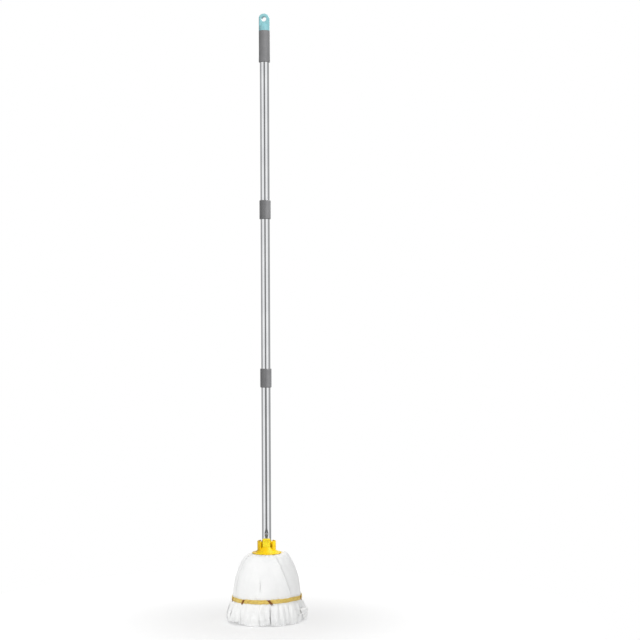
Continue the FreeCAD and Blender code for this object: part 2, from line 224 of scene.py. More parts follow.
def band_finish():
    """Golden woven tape: ribs across, paler selvedges, and painted shade in dark brown where the
    tacks draw it in, with random darker brown streaks.
    """
    finish = Finish("band_tape", Sheen_Weight=0.1, Sheen_Roughness=0.4)
    uv = finish.add("ShaderNodeUVMap", uv_map="cloth").outputs[0]
    parts = finish.add("ShaderNodeSeparateXYZ", {0: uv})
    ribs = waves(finish, parts.outputs[0], 0.009)
    picks = waves(finish, parts.outputs[1], 0.006)
    weave = finish.maths("MULTIPLY", ribs, picks)
    clouds = finish.cloud(70.0, 4.0)
    gold = finish.blend(finish.range(clouds, 0.3, 0.7, 0.0, 1.0), rgba(0.93, 0.73, 0.20),
                        rgba(0.86, 0.61, 0.12))
    edge = finish.add("ShaderNodeAttribute", attribute_name="edge").outputs["Fac"]
    gold = finish.blend(edge, gold, rgba(0.93, 0.78, 0.30))
    gold = finish.blend(finish.range(weave, -1.0, 1.0, 0.0, 0.25), gold, rgba(0.58, 0.32, 0.03))
    # Painted shade: the band turns dark brown where the tacks pinch it in, and along random streaks.
    tack_shade_and_streaks = finish.add("ShaderNodeAttribute", attribute_name="tack_shade_and_streaks").outputs["Fac"]
    gold = finish.blend(finish.maths("MULTIPLY", tack_shade_and_streaks, 0.85), gold, rgba(0.30, 0.10, 0.012))
    finish.link(gold, "Base Color")
    finish.link(finish.range(clouds, 0.3, 0.7, 0.68, 0.85), "Roughness")
    finish.bump(weave, 0.00018, 0.8)
    return finish.material


def thread_finish(name, colour, shade):
    finish = Finish(name)
    twist = finish.cloud(700.0, 3.0, 0.6)
    finish.link(finish.blend(twist, colour, shade), "Base Color")
    finish.link(finish.range(twist, 0.3, 0.7, 0.5, 0.75), "Roughness")
    finish.bump(twist, 0.0001)
    return finish.material


CLOTH = cloth_finish()
BAND = band_finish()
THREAD = thread_finish("stitch_thread", rgba(0.78, 0.44, 0.05), rgba(0.50, 0.24, 0.02))
TACK = thread_finish("tack_thread", rgba(0.34, 0.12, 0.012), rgba(0.16, 0.05, 0.006))
CHROME = chromed_steel()
CAP = moulded("cap_plastic", rgba(0.29, 0.58, 0.61), rgba(0.26, 0.55, 0.60), (0.22, 0.34), 900.0,
              0.00003)
COLLAR = moulded("collar_plastic", rgba(0.21, 0.21, 0.215), rgba(0.17, 0.17, 0.175), (0.18, 0.3),
                 800.0, 0.00003)
SOCKET = moulded("socket_plastic", rgba(0.88, 0.60, 0.005), rgba(0.85, 0.56, 0.004), (0.28, 0.42),
                 1000.0, 0.00004, 0.3, 0.3)
TONGUE = moulded("tongue_plastic", rgba(0.93, 0.75, 0.03), rgba(0.91, 0.71, 0.02), (0.26, 0.4),
                 1000.0, 0.00004, 0.3, 0.4)
INNER_PLASTIC = moulded("inner_plastic", rgba(0.14, 0.14, 0.145), rgba(0.11, 0.11, 0.115),
                        (0.35, 0.5), 700.0, 0.00005)
PLATE = moulded("plate_plastic", rgba(0.82, 0.82, 0.79), rgba(0.76, 0.76, 0.73), (0.35, 0.5), 700.0,
                0.00005)
RUBBER = moulded("washer_rubber", rgba(0.02, 0.02, 0.02), rgba(0.03, 0.03, 0.03), (0.6, 0.8), 600.0,
                 0.00008)

SPRING = plain_steel("spring_steel", rgba(0.55, 0.56, 0.58), 0.35)
CAD_FINISHES = {
    "hanging_cap": CAP, "grip_sleeve": soft_grip(), "upper_tube": CHROME, "middle_tube": CHROME,
    "lower_tube": CHROME, "upper_joint_sleeve": COLLAR, "lower_joint_sleeve": COLLAR,
    "upper_joint_insert": INNER_PLASTIC, "lower_joint_insert": INNER_PLASTIC,
    "upper_joint_stud": INNER_PLASTIC, "lower_joint_stud": INNER_PLASTIC,
    "upper_joint_washer": RUBBER, "lower_joint_washer": RUBBER, "tube_end_plug": INNER_PLASTIC,
    "snap_button": plain_steel("button_steel", rgba(0.72, 0.72, 0.73), 0.3),
    "mop_socket": SOCKET, "release_tongue": TONGUE, "clamp_plate": PLATE,
    "clamp_screws": plain_steel("screw_steel", rgba(0.6, 0.6, 0.62), 0.3),
}
for node_name, material in CAD_FINISHES.items():
    for material_slot in frame["nodes"][node_name].material_slots:
        material_slot.material = material


# ---- meshes ----------------------------------------------------------------------------------


def piece(name, points, faces, material, node, uvs=None, marks=None, rides=True):
    """A mesh from points in millimetres, riding on the body of the CAD node that it stands for.

    marks are named values of its points, which a material reads."""
    mesh = bpy.data.meshes.new(name)
    mesh.from_pydata([tuple(c * MM for c in p) for p in points], [], faces)
    if uvs is not None:
        layer = mesh.uv_layers.new(name="cloth")
        for loop in mesh.loops:
            layer.data[loop.index].uv = uvs[loop.vertex_index]
    for mark, values in (marks or {}).items():
        attribute = mesh.attributes.new(mark, "FLOAT", "POINT")
        attribute.data.foreach_set("value", values)
    mesh.shade_smooth()
    mesh.materials.append(material)
    obj = bpy.data.objects.new(name, mesh)
    bpy.context.scene.collection.objects.link(obj)
    if rides:
        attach(obj, BODY[node])
    return obj


def weld(obj, distance):
    """Joins points that lie together, in millimetres."""
    grid = bmesh.new()
    grid.from_mesh(obj.data)
    bmesh.ops.remove_doubles(grid, verts=grid.verts, dist=distance * MM)
    grid.to_mesh(obj.data)
    grid.free()


CUT_EDGE_DEG = 55


def thicken(obj, thickness, rounding):
    """Gives a sheet its thickness on the inner side, and softens its cut edges."""
    solid = obj.modifiers.new("thickness", "SOLIDIFY")
    solid.thickness = thickness * MM
    solid.offset = -1.0
    solid.use_even_offset = True
    bevel = obj.modifiers.new("cut_edges", "BEVEL")
    bevel.width = rounding * MM
    bevel.segments = 2
    bevel.limit_method = "ANGLE"
    bevel.angle_limit = math.radians(CUT_EDGE_DEG)


def smoothstep(value, low, high):
    t = min(max((value - low) / (high - low), 0.0), 1.0)
    return t * t * (3.0 - 2.0 * t)


# ---- the bell's line -------------------------------------------------------------------------

# Outer line of the bell, from under the flange out over the shoulder and down: (r, z).
BELL_LINE = [(26.0, 159.7), (35.0, 159.4), (42.0, 158.0), (50.0, 154.3), (60.0, 143.0),
             (69.0, 123.0), (75.2, 103.0), (79.4, 82.0), (81.2, 66.0), (81.4, 56.0),
             (83.4, 49.0), (90.5, 32.0), (94.0, 16.0), (92.5, 0.0)]
CLAMP_OUTER_R = 35.0
BAND_LOW, BAND_HIGH = (corner[2] for corner in millimetres("stitched_band"))
BAND_MIDDLE = (BAND_LOW + BAND_HIGH) / 2
CLOTH_THICKNESS = 0.8
LINE_STEP = 0.5


def smooth_line(points, step):
    """Evenly spaced points on a curve through the given ones."""
    points = np.array(points, float)
    ends = np.vstack([2 * points[0] - points[1], points, 2 * points[-1] - points[-2]])
    dense = []
    for a, b, c, d in zip(ends, ends[1:], ends[2:], ends[3:]):
        for t in np.linspace(0.0, 1.0, 40, endpoint=False):
            dense.append(0.5 * (2 * b + (c - a) * t + (2 * a - 5 * b + 4 * c - d) * t ** 2
                                + (3 * b - a - 3 * c + d) * t ** 3))
    dense = np.array(dense + [points[-1]])
    lengths = np.concatenate([[0], np.cumsum(np.linalg.norm(np.diff(dense, axis=0), axis=1))])
    even = np.arange(0.0, lengths[-1], step)
    return np.column_stack([np.interp(even, lengths, dense[:, i]) for i in (0, 1)])


class Line:
    """One cloth layer's line in the (r, z) plane, with the distance along it."""

    def __init__(self, share, drop, tip_z):
        top = BELL_LINE[0][1]
        points = []
        for r, z in BELL_LINE:
            spread = max(r - CLAMP_OUTER_R, 0.0)
            points.append((r - spread * (1.0 - share), tip_z + z * (top - drop - tip_z) / top))
        self.points = smooth_line(points, LINE_STEP)
        steps = np.diff(self.points, axis=0)
        self.angles = np.arctan2(steps[:, 1], steps[:, 0])
        self.length = LINE_STEP * (len(self.points) - 1)

    def at_height(self, z):
        """Distance along the line where it comes down to this height."""
        return LINE_STEP * int(np.argmax(self.points[:, 1] <= z))

    def bent(self, start, bend):
        """The line with extra turning from start on; bend(distance past start) is an angle."""
        first = int(start / LINE_STEP)
        line = Line.__new__(Line)
        extra = np.array([bend((i - first) * LINE_STEP) if i > first else 0.0
                          for i in range(len(self.angles))])
        line.angles = self.angles + extra
        run = np.column_stack([np.cos(line.angles), np.sin(line.angles)]) * LINE_STEP
        line.points = np.vstack([self.points[:1], self.points[:1] + np.cumsum(run, axis=0)])
        line.length = self.length
        return line

    def at(self, s):
        """Place and outward normal at a distance along the line: (r, z), (nr, nz)."""
        i = min(max(s / LINE_STEP, 0.0), len(self.angles) - 1.001)
        k = int(i)
        place = self.points[k] + (self.points[k + 1] - self.points[k]) * (i - k)
        after = self.angles[min(k + 1, len(self.angles) - 1)]
        angle = after * (i - k) + self.angles[k] * (1 - i + k)
        return place, (-math.sin(angle), math.cos(angle))


# ---- cloth -----------------------------------------------------------------------------------

CLOTH_PIECES = []

# What a tail is drawn from at random; lengths in millimetres.
PLEAT_WIDTH, PLEAT_DEPTH, PLEAT_WANDER = (12.0, 18.0), (4.2, 6.4), (0.25, 0.5)
TWIST, LIFT, SWAY, WIDEN = (3.0, 5.0), (-0.8, 0.8), (-1.2, 1.2), (0.04, 0.12)
SHORT, SLANT, BEND_DEG = (0.0, 4.5), (-6.0, 6.0), (-8.0, 6.0)
CRUMPLE = 1.4
LEAST_PLEATS = 0.8


class Tail:
    """One tail of a slit sheet: how it is pleated, leans, curls and ends below the band.

    pleats, phase, depth and wander shape its pleats. twist brings one side forward and lift the
    whole tail. sway moves it aside and widen spreads it. short and slant cut its hem, and bend
    turns it outward. With straight set, it hangs that far and then rolls up."""

    def __init__(self, rng, width, deep=1.0, **chosen):
        self.pleats = max(width / rng.uniform(*PLEAT_WIDTH), LEAST_PLEATS)
        self.phase = rng.uniform(0.0, 1.0)
        self.depth = deep * rng.uniform(*PLEAT_DEPTH)
        self.wander = rng.uniform(*PLEAT_WANDER)
        self.seed = rng.uniform(0.0, 40.0)
        self.twist = deep * rng.uniform(*TWIST)
        self.lift = deep * rng.uniform(*LIFT)
        self.sway = rng.uniform(*SWAY)
        self.widen = rng.uniform(*WIDEN)
        self.short = rng.uniform(*SHORT)
        self.slant = rng.uniform(*SLANT)
        self.bend = math.radians(rng.uniform(*BEND_DEG))
        self.crumple = CRUMPLE
        self.straight = None
        for name, value in chosen.items():
            setattr(self, name, value)

    def out(self, across, below):
        """How far the cloth stands out from its line, at a distance below the band's middle."""
        if below <= 0.0:
            return 0.0
        wander = self.wander * noise.noise(Vector((2.6 * across + self.seed, below / 34.0, 0.0)))
        ridge = abs(math.sin(math.pi * (self.pleats * across + self.phase + wander)))
        edge = 0.35 + 0.65 * smoothstep(min(across, 1.0 - across), 0.0, 0.16)
        pleat = (ridge - 0.62) * edge * self.depth * smoothstep(below, 0.0, 20.0)
        pleat *= 1.0 - 0.25 * smoothstep(below, 30.0, 58.0)
        shingle = self.twist * (across - 0.5) * smoothstep(below, 2.0, 24.0)
        crumple = noise.noise(Vector((5.0 * across + self.seed, 3.0, below / 13.0)))
        return pleat + shingle + (self.lift + self.crumple * crumple) * smoothstep(below, 6.0, 30.0)

    def aside(self, across, below, width):
        """How far the cloth moves sideways, at a distance below the band's middle."""
        grown = smoothstep(below, 4.0, 50.0)
        curve = noise.noise(Vector((self.seed, 9.0, below / 28.0)))
        return grown * (self.sway + 2.6 * curve + (across - 0.5) * width * self.widen)


# Where the bell is pressed in beside the flange: degrees, height and depth. And its fuller
# shoulder: degrees, distance along the line and rise.
HOLLOW_DEG, HOLLOW_Z, HOLLOW_DEPTH = 25.0, 147.0, 3.2
SHOULDER_DEG, SHOULDER_S, SHOULDER_RISE = 84.0, 16.0, 5.4


def dome_relief(angle, s, z):
    """Unevenness of the bell above the band, the same for every sheet, outward positive."""
    a = math.radians(angle)
    x, y = math.sin(a), -math.cos(a)
    broad = 1.3 * noise.noise(Vector((2.2 * x, 2.2 * y, z / 42.0)))
    medium = 0.4 * noise.noise(Vector((6.0 * x + 7.0, 6.0 * y, z / 30.0)))
    gathers = 0.55 * math.exp(-((s - 14.0) / 9.0) ** 2) * math.sin(17 * a + 2.5 * math.sin(3 * a))
    aside, above = (angle - HOLLOW_DEG) / 8.0, (z - HOLLOW_Z) / 6.0
    hollow = -HOLLOW_DEPTH * math.exp(-aside ** 2 - above ** 2)
    aside, along = (angle - SHOULDER_DEG) / 36.0, (s - SHOULDER_S) / 13.0
    shoulder = SHOULDER_RISE * math.exp(-aside ** 2 - along ** 2)
    uneven = smoothstep(s, 8.0, 20.0) * (broad + medium + hollow)
    return uneven + gathers + shoulder * smoothstep(s, 9.0, 15.0)


def band_pucker(angle, z):
    """Small creases where the band draws the cloth in, fading upwards."""
    a = math.radians(angle)
    creases = noise.noise(Vector((15 * math.sin(a), 15 * math.cos(a), 3.0)))
    return 1.8 * math.exp(-max(z - BAND_HIGH, 0.0) / 8.0) * min(creases, 0.06)


def hang_line(line, tail, start):
    """The layer's line for one tail, with its own bend, or rolled outward into a scroll."""
    if tail.straight is None:
        return line.bent(start, lambda d: tail.bend * smoothstep(d, 10.0, 46.0))

    def roll(d):
        past = max(d - tail.straight, 0.0)
        turned = past / CURL_R * (1.0 + CURL_TIGHTENING * past)
        return -CURL_INWARD * smoothstep(d, 0.0, 14.0) + turned
    return line.bent(start, roll)


def slit_gap(slit, z):
    """Half of a slit's gap at a height above the band, in mm."""
    top, opening = slit[1], slit[2]
    if z > top or z < BAND_MIDDLE:
        return 0.0
    below_top = smoothstep(top - z, 0.0, 20.0)
    above_band = smoothstep(z, BAND_HIGH + 14.0, BAND_HIGH + 26.0)
    return 0.5 * opening * below_top * above_band


HEM_WAVES = 3.4
TUCK_GAP = 0.15


def cloth_sheet(name, line, sides, slits, rng, node_name, deep=1.0, tuck=0.0, ridge=0.0,
                step=2.0, relief=True, chosen=()):
    """A sheet of cloth hung over the bell and slit into tails.

    sides are two functions of height that give the sheet's edges in degrees from the front.
    slits are (degrees, height of the slit's top, gap in mm above the band). tuck is how far its
    left edge runs under its neighbour, in degrees, and ridge how far the fold at its right edge
    stands up. chosen settles what is not left to chance, for each tail."""
    s_middle = line.at_height(BAND_MIDDLE)
    r_middle = line.at(s_middle)[0][0]

    def left_side(z):
        return sides[0](z) - tuck
    stops = [(left_side, BAND_MIDDLE, 0.0)]
    stops += [((lambda z, place=place: place), top, gap) for place, top, gap in slits]
    stops += [(sides[1], BAND_MIDDLE, 0.0)]
    points, faces, uvs = [], [], []
    rows_above = int(s_middle / step)
    rows_below = int((line.length - s_middle) / step)
    for number, (start, stop) in enumerate(zip(stops, stops[1:])):
        left_low, right_low = start[0](BAND_MIDDLE), stop[0](BAND_MIDDLE)
        width = math.radians(right_low - left_low) * r_middle
        tail = Tail(rng, width, deep, **(chosen[number] if number < len(chosen) else {}))
        hung = hang_line(line, tail, s_middle)
        widest = math.radians(max(stop[0](z) - start[0](z) for z in (60, 100, 150))) * r_middle
        columns = max(int(widest / step), 6)
        first = len(points)
        for i in range(columns + 1):
            across = i / columns
            cut = max(tail.short + tail.slant * (across - 0.5), 0.3)
            cut += HEM_WAVES * abs(noise.noise(Vector((across * 6.0 + tail.seed, 0.0, 5.0))))
            for j in range(rows_above + rows_below + 1):
                if j <= rows_above:
                    s = s_middle * j / rows_above
                else:
                    s = s_middle + (line.length - cut - s_middle) * (j - rows_above) / rows_below
                z_straight = line.at(s)[0][1]
                (r, z), (nr, nz) = hung.at(s)
                left, right = start[0](z_straight), stop[0](z_straight)
                angle = left + (right - left) * across
                below = s - s_middle
                out = tail.out(across, below)
                if relief:
                    out += dome_relief(angle, s, z_straight) * smoothstep(z_straight, 58.0, 80.0)
                    out += band_pucker(angle, z_straight)
                fade = smoothstep(z_straight, BAND_HIGH, BAND_HIGH + 14.0)
                if tuck:
                    past = angle - sides[0](z_straight)
                    out -= (CLOTH_THICKNESS + TUCK_GAP) * (1.0 - smoothstep(past, 0.3, 13.0))
                if ridge:
                    near = max(1.0 - (sides[1](z_straight) - angle) / RIDGE_DEG, 0.0)
                    fold = near ** 1.5 * (1.0 - 0.72 * smoothstep(near, 0.82, 1.0))
                    out += ridge * (0.2 + 0.8 * fade) * smoothstep(s, 10.0, 34.0) * fold
                aside = tail.aside(across, below, width)
                aside += slit_gap(start, z_straight) * (1 - across) ** 8
                aside -= slit_gap(stop, z_straight) * across ** 8
                a = math.radians(angle) + aside / max(r, 20.0)
                r_out, z_out = r + nr * out, max(z + nz * out, 0.3)
                points.append((r_out * math.sin(a), -r_out * math.cos(a), z_out))
                uvs.append(((left_low * r_middle / 57.3 + width * across) / 100.0, s / 100.0))
        rows = rows_above + rows_below + 1
        for i in range(columns):
            for j in range(rows - 1):
                a = first + i * rows + j
                faces.append((a, a + 1, a + rows + 1, a + rows))
    obj = piece(name, points, faces, CLOTH, node_name, uvs)
    CLOTH_PIECES.append(obj)
    weld(obj, 0.02)
    thicken(obj, CLOTH_THICKNESS, 0.3)
    for s in np.arange(0.0, line.length, 5.0):
        r, z = line.at(s)[0]
        math.radians(sides[1](z) - left_side(z)) * r
    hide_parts(node_name)


def edge_at(degrees, lean=0.0):
    """A sheet's edge: these degrees at a height of 100 mm, and so many more for each mm down."""
    def at(z):
        return degrees + lean * (100.0 - min(max(z, BAND_LOW), 150.0))
    return at


# The outer sheets' edges, and their slits: degrees, height of the top, gap above the band.
OUTER_EDGES = [edge_at(-64.0, -0.03), edge_at(40.0, 0.21), edge_at(61.5), edge_at(148.0, 0.05),
               edge_at(222.0, -0.04)]
OUTER_SLITS = [
    [(-41.0, BAND_MIDDLE, 0.0), (-9.8, 112.0, 0.9), (7.0, BAND_MIDDLE, 0.0),
     (29.0, BAND_MIDDLE, 0.0)],
    [],
    [(78.0, BAND_MIDDLE, 0.0), (95.0, BAND_MIDDLE, 0.0), (111.0, BAND_MIDDLE, 0.0),
     (129.0, 106.0, 0.9)],
    [(168.0, BAND_MIDDLE, 0.0), (187.0, 101.0, 0.9), (205.0, BAND_MIDDLE, 0.0)],
    [(240.0, BAND_MIDDLE, 0.0), (258.0, 108.0, 0.9), (277.0, BAND_MIDDLE, 0.0)],
]
TUCK_DEG = 6.0
RIDGE_DEG = 22.0
FRONT_RIDGE, OTHER_RIDGE = 6.2, 0.2
CURL_R, CURL_TIGHTENING, CURL_INWARD = 7.2, 0.012, math.radians(13.0)
# What is given for the tails that hang in front; the rest is drawn at random.
CHOSEN_TAILS = {
    1: [{"lift": 1.2, "twist": 1.6, "sway": 0.6, "short": 5.0, "slant": 8.0, "bend": 0.08,
         "widen": 0.12},
        {"lift": 1.2, "twist": 1.8, "sway": -0.9, "short": 0.5, "slant": -6.0, "pleats": 2.4,
         "bend": 0.03, "widen": 0.09},
        {"lift": 0.3, "twist": -4.6, "sway": -1.1, "short": 2.2, "slant": 5.0, "pleats": 1.4,
         "widen": 0.04, "phase": 0.1},
        {"lift": 0.9, "twist": -2.0, "sway": 1.5, "short": 0.3, "slant": -6.0, "pleats": 2.2,
         "widen": 0.02},
        {"lift": 0.2, "twist": 3.0, "sway": 0.3, "short": 2.5, "slant": -6.0, "pleats": 1.8,
         "widen": 0.08}],
    2: [{"lift": -0.6, "twist": 2.6, "short": 3.5, "slant": -6.0, "bend": -0.05, "widen": 0.1}],
    3: [{"straight": 27.0, "lift": 0.0, "twist": 0.0, "depth": 0.7, "pleats": 1.1, "crumple": 0.4,
         "short": 2.0, "slant": 2.0, "widen": -0.06, "sway": 1.0}],
    5: [{"sway": 0.5}, {"sway": -0.5, "widen": 0.12},
        {"lift": 1.0, "twist": 1.0, "sway": 0.6, "widen": 0.12, "bend": 0.02},
        {"lift": 1.2, "twist": 1.2, "sway": -0.3, "widen": 0.13, "bend": 0.02}],
}


def outer_sheets():
    line = Line(1.0, 0.0, 0.0)
    ends = OUTER_EDGES[1:] + [lambda z: OUTER_EDGES[0](z) + 360.0]
    for number, (left, right, slits) in enumerate(zip(OUTER_EDGES, ends, OUTER_SLITS), 1):
        cloth_sheet(f"outer_cloth_{number:02d}", line, (left, right), slits,
                    random.Random(40 + number), f"outer_sheet_{number:02d}", tuck=TUCK_DEG,
                    ridge=FRONT_RIDGE if number == 1 else OTHER_RIDGE,
                    chosen=CHOSEN_TAILS.get(number, ()))


# Layers inside the bell: CAD name, count, share of the outer spread, drop at the clamp, tip height.
INNER_LAYERS = [("middle_strip", 8, 0.87, 3.4, 0.0), ("inner_strip", 8, 0.60, 6.8, 1.0),
                ("core_strip", 4, 0.26, 10.2, 3.0)]


def inner_strips():
    for layer, (name, count, share, drop, tip_z) in enumerate(INNER_LAYERS, 1):
        line = Line(share, drop, tip_z)
        step = 360.0 / count
        for number in range(count):
            left = -64.0 + (step / 2 if layer % 2 else 0.0) + number * step
            slits = [(left + step * part, BAND_MIDDLE, 0.0) for part in (0.34, 0.67)]
            node_name = f"{name}_{number + 1:02d}"
            sides = (edge_at(left), edge_at(left + step - 1.0))
            cloth_sheet(f"{node_name}_cloth", line, sides, slits,
                        random.Random(100 * layer + number), node_name, deep=0.5, step=3.4,
                        relief=False)


# ---- band ------------------------------------------------------------------------------------

# Where the band is drawn in by a tack of thread: degrees from the front, strength, and how far
# the thread runs aside on its way down, in degrees.
TACKS = [(-40.5, 0.7, -3.0), (6.6, 1.0, 4.5), (77.0, 0.6, 2.0), (121.0, 0.7, -2.0),
         (163.0, 0.9, 3.0), (204.0, 0.7, -3.0), (246.0, 0.9, 3.0), (286.0, 0.6, -1.0)]
BAND_ROWS = 10
BAND_COLUMNS = 520
BAND_R = 83.4
BAND_TILT = 1.9
BAND_RISE = 0.8


def tack_strength(angle, across):
    total = 0.0
    for place, strength, slant in TACKS:
        gap = (angle - place + slant * (across - 0.5) + 180.0) % 360.0 - 180.0
        total += strength * math.exp(-(gap / 2.6) ** 2)
    return min(total, 1.0)


def band_place(angle, across):
    """A point on the band: across is 0 at its lower edge and 1 at its upper one."""
    a = math.radians(angle)
    tack = tack_strength(angle, across)
    ripple = noise.noise(Vector((6 * math.sin(a), 6 * math.cos(a), 1.5)))
    fine = noise.noise(Vector((26 * math.sin(a), 26 * math.cos(a), 2.0 * across)))
    middle = BAND_MIDDLE + 1.2 * ripple + BAND_TILT * math.sin(a) + BAND_RISE * math.cos(a)
    half = (BAND_HIGH - BAND_LOW) / 2 * (1.0 - 0.3 * tack) + 0.7 * fine
    z = middle + half * (2 * across - 1)
    crown = 1 - (2 * across - 1) ** 2
    r = BAND_R - 0.9 * (across - 0.2) + 0.6 * crown + 0.4 * fine - 2.2 * tack * (0.3 + 0.7 * crown)
    return r * math.sin(a), -r * math.cos(a), z


def stitched_band():
    points, uvs, edge, tack_shade_and_streaks, faces = [], [], [], [], []
    for i in range(BAND_COLUMNS + 1):
        angle = 360.0 * i / BAND_COLUMNS
        for j in range(BAND_ROWS + 1):
            across = j / BAND_ROWS
            points.append(band_place(angle, across))
            uvs.append((math.radians(angle) * 0.84, across * 0.1))
            edge.append(abs(2 * across - 1) ** 4)
            # The mark for painted shade where the tacks pinch the band in, together with random
            # darker streaks.
            streak = noise.noise(Vector((angle / 4.0, 3.0 * across, 8.0)))
            tack_shade_and_streaks.append(max(tack_strength(angle, across), 0.7 * streak))
    rows = BAND_ROWS + 1
    for i in range(BAND_COLUMNS):
        for j in range(BAND_ROWS):
            a = i * rows + j
            faces.append((a, a + rows, a + rows + 1, a + 1))
    band = piece("stitched_band_tape", points, faces, BAND, "stitched_band", uvs,
                 {"edge": edge, "tack_shade_and_streaks": tack_shade_and_streaks})
    weld(band, 0.01)
    thicken(band, 1.0, 0.3)
    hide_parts("stitched_band")
    threads = [band_stitches(), band_tacks()]
    CLOTH_PIECES.extend([band] + threads)


def bar(points, faces, start, end, radius, sides=6):
    """Adds one stitch: a short rod with its ends drawn down."""
    start, end = Vector(start), Vector(end)
    along = (end - start).normalized()
    side = along.orthogonal().normalized()
    up = along.cross(side)
    stations = [(0.0, 0.35), (0.15, 0.9), (0.5, 1.0), (0.85, 0.9), (1.0, 0.35)]
    first = len(points)
    for t, swell in stations:
        centre = start.lerp(end, t)
        for k in range(sides):
            a = 2 * math.pi * k / sides
            points.append(tuple(centre + (side * math.cos(a) + up * math.sin(a)) * radius * swell))
    for row in range(len(stations) - 1):
        for k in range(sides):
            a, b = first + row * sides + k, first + row * sides + (k + 1) % sides
            faces.append((a, b, b + sides, a + sides))
    last = first + (len(stations) - 1) * sides
    faces.append(tuple(first + k for k in reversed(range(sides))))
    faces.append(tuple(last + k for k in range(sides)))


def outward(point, distance):
    return Vector(point) + Vector((point[0], point[1], 0.0)).normalized() * distance


def band_stitches():
    """Two rows of stitches round the band."""
    points, faces = [], []
    pitch, share = 2.4, 0.62
    for across in (0.2, 0.8):
        for k in range(int(360 / pitch)):
            start = outward(band_place(k * pitch, across), 0.15)
            end = outward(band_place((k + share) * pitch, across), 0.15)
            bar(points, faces, start, end, 0.28)
    stitches = piece("band_stitches", points, faces, THREAD, "stitched_band")
    return stitches


def band_tacks():
    """Bundles of brown thread that draw the band in, each slanting across it."""
    points, faces = [], []
    rng = random.Random(7)
    for place, strength, slant in TACKS:
        for k in range(7):
            aside = (k - 3) * 0.2 * (1.0 + 1.6 * strength) + rng.uniform(-0.15, 0.15)
            ends = [-0.1 - strength * (0.15 + 0.35 * rng.random()),
                    0.5 + 0.55 * strength + 0.1 * rng.random()]
            low, high = (band_place(place + aside - slant * (across - 0.5), across)
                         for across in ends)
            middle = band_place(place + aside, 0.5)
            radius = 0.26 + 0.3 * strength
            lift = 0.3 + 0.5 * strength * (1 - abs(k - 3) / 4)
            bar(points, faces, outward(low, lift), outward(middle, lift), radius)
            bar(points, faces, outward(middle, lift), outward(high, lift), radius)
    tacks = piece("band_tacks", points, faces, TACK, "stitched_band")
    return tacks


# ---- lower tube ------------------------------------------------------------------------------

TUBE_WALL = 0.5
HOLE_R = 3.65
# The flat round the button: how deep it is pressed, how fast it fades, and the length that is
# divided finely for it.
FLAT_DEPTH, FLAT_FADE, FLAT_REACH = 1.15, 8.5, 22.0
FLAT_CORNER = 0.35


def lower_tube():
    """The lower tube, pressed flat round the snap button."""
    low, high = millimetres("lower_tube")
    button_low, button_high = millimetres("snap_button")
    outer = high[0]
    button_z = (button_low[2] + button_high[2]) / 2
    heights = list(np.arange(low[2], button_z - FLAT_REACH, 6.0))
    heights += list(np.arange(button_z - FLAT_REACH, button_z + FLAT_REACH, 0.8))
    heights += list(np.arange(button_z + FLAT_REACH, high[2], 12.0)) + [high[2]]
    segments = 128
    points, faces = [], []
    for radius in (outer, outer - TUBE_WALL):
        for z in heights:
            depth = FLAT_DEPTH * math.exp(-((z - button_z) / FLAT_FADE) ** 2)
            for k in range(segments):
                a = 2 * math.pi * k / segments
                x, y = radius * math.sin(a), -radius * math.cos(a)
                flat = -(radius - depth)
                if y < 0:
                    y = flat + soft_floor(y - flat)
                points.append((x, y, z))
    rows = len(heights)
    for shell in (0, 1):
        for j in range(rows - 1):
            for k in range(segments):
                a = (shell * rows + j) * segments + k
                b = (shell * rows + j) * segments + (k + 1) % segments
                quad = (a, b, b + segments, a + segments)
                faces.append(quad if shell == 0 else quad[::-1])
    for j in (0, rows - 1):
        for k in range(segments):
            a, b = j * segments + k, j * segments + (k + 1) % segments
            c, d = a + rows * segments, b + rows * segments
            faces.append((a, c, d, b) if j == 0 else (a, b, d, c))
    tube = piece("lower_tube_shell", points, faces, CHROME, "lower_tube")
    cut_hole(tube, button_z, HOLE_R, outer)
    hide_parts("lower_tube")


def soft_floor(value):
    """max(value, 0), with a rounded corner."""
    return 0.5 * (value + math.sqrt(value * value + FLAT_CORNER * FLAT_CORNER))


def cut_hole(obj, z, radius, reach):
    """Cuts a round hole through the front wall."""
    cutter_mesh = bpy.data.meshes.new("hole")
    grid = bmesh.new()
    bmesh.ops.create_cone(grid, cap_ends=True, segments=48, radius1=radius * MM,
                          radius2=radius * MM, depth=reach * MM)
    bmesh.ops.rotate(grid, verts=grid.verts, cent=(0, 0, 0),
                     matrix=Matrix.Rotation(math.radians(90.0), 3, "X"))
    bmesh.ops.translate(grid, verts=grid.verts, vec=(0, -reach * MM, z * MM))
    grid.to_mesh(cutter_mesh)
    grid.free()
    cutter = bpy.data.objects.new("hole", cutter_mesh)
    bpy.context.scene.collection.objects.link(cutter)
    hole = obj.modifiers.new("hole", "BOOLEAN")
    hole.operation = "DIFFERENCE"
    hole.object = cutter
    hole.solver = "EXACT"
    with bpy.context.temp_override(object=obj, active_object=obj):
        bpy.ops.object.modifier_apply(modifier=hole.name)
    bpy.data.objects.remove(cutter)


# ---- snap spring -----------------------------------------------------------------------------

LEAF_THICKNESS = 0.5
LEAF_STEP = 0.6


def rounded(path, times):
    """The path with its corners cut again and again, which rounds them."""
    for _ in range(times):
        cut = [path[0]]
        for a, b in zip(path, path[1:]):
            cut += [a.lerp(b, 0.25), a.lerp(b, 0.75)]
        path = cut + [path[-1]]
    return path


def evenly(path, step):
    """Points along the path at an even distance."""
    spaced, left = [path[0]], step
    for a, b in zip(path, path[1:]):
        length = (b - a).length
        while left <= length:
            spaced.append(a.lerp(b, left / length))
            left += step
        left -= length
    return spaced


